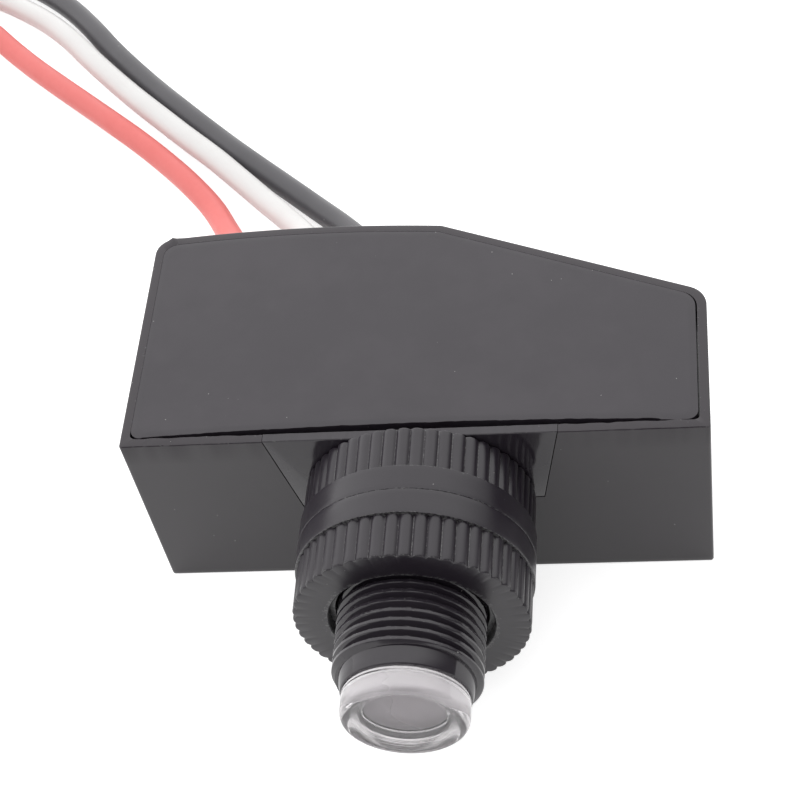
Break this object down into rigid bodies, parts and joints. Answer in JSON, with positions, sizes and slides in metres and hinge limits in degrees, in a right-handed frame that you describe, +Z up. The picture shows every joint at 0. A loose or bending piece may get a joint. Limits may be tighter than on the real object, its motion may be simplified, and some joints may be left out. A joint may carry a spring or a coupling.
{
  "type": "photocell switch",
  "caption": "Moulded box with a sloping corner, a threaded sensor nose with lens and knurled finger nuts, and insulated leads; switches a lamp circuit by daylight.",
  "frame": {"origin": "on the surface the box rests on, under the middle of the rigid pieces", "axes": "+Z up through the cover plate, -Y out of the front wall along the nose, +X towards the low end of the sloping corner"},
  "size_m": [0.1222, 0.1161, 0.0217],
  "materials": {
    "housing_plastic": "fine satin moulding, slightly glossier on the front wall",
    "cover_plastic": "matte moulding with a faint mottle",
    "nose_plastic": "satin moulding",
    "lens_plastic": "clear moulded acrylic",
    "nut_plastic": "satin moulding with a knurled band",
    "clamp_plastic": "plain moulding",
    "board_laminate": "phenolic paper laminate",
    "relay_case": "smooth moulded case",
    "film_case": "smooth box case",
    "can_sleeve": "shrunk sleeve",
    "varistor_coat": "dipped coating",
    "transistor_case": "moulded case",
    "diode_case": "moulded case",
    "zener_glass": "sealed glass bead",
    "resistor_coat": "lacquer coat",
    "cell_face": "coated ceramic disc",
    "red_insulation": "extruded insulation, half gloss",
    "white_insulation": "extruded insulation, half gloss",
    "black_insulation": "extruded insulation, half gloss",
    "tinned_copper": "tinned stranded copper"
  },
  "bodies": {
    "box": {"housing": "housing_plastic", "cover_plate": "cover_plastic", "nose_barrel": "nose_plastic", "lens": "lens_plastic", "lead_clamp": "clamp_plastic", "circuit_board": "board_laminate", "relay": "relay_case", "film_capacitor": "film_case", "smoothing_capacitor": "can_sleeve", "surge_varistor": "varistor_coat", "switching_transistor": "transistor_case", "rectifier_diode_1": "diode_case", "rectifier_diode_2": "diode_case", "rectifier_diode_3": "diode_case", "rectifier_diode_4": "diode_case", "zener_diode": "zener_glass", "resistor_1": "resistor_coat", "resistor_2": "resistor_coat", "photoresistor": "cell_face", "red_lead": "red_insulation", "white_lead": "white_insulation", "black_lead": "black_insulation", "red_lead_bare_end": "tinned_copper", "white_lead_bare_end": "tinned_copper", "black_lead_bare_end": "tinned_copper", "red_lead_tail": "tinned_copper", "white_lead_tail": "tinned_copper", "black_lead_tail": "tinned_copper"},
    "rear_nut_body": {"rear_nut": "nut_plastic"},
    "front_nut_body": {"front_nut": "nut_plastic"}
  },
  "joints": [
    {"name": "rear_nut_turn", "type": "hinge", "parent": "box", "child": "rear_nut_body", "pos_m": [0, -0.00458, 0.0114], "axis": [0, -1, 0], "continuous": true},
    {"name": "front_nut_turn", "type": "hinge", "parent": "box", "child": "front_nut_body", "pos_m": [0, -0.01117, 0.0114], "axis": [0, -1, 0], "continuous": true}
  ]
}
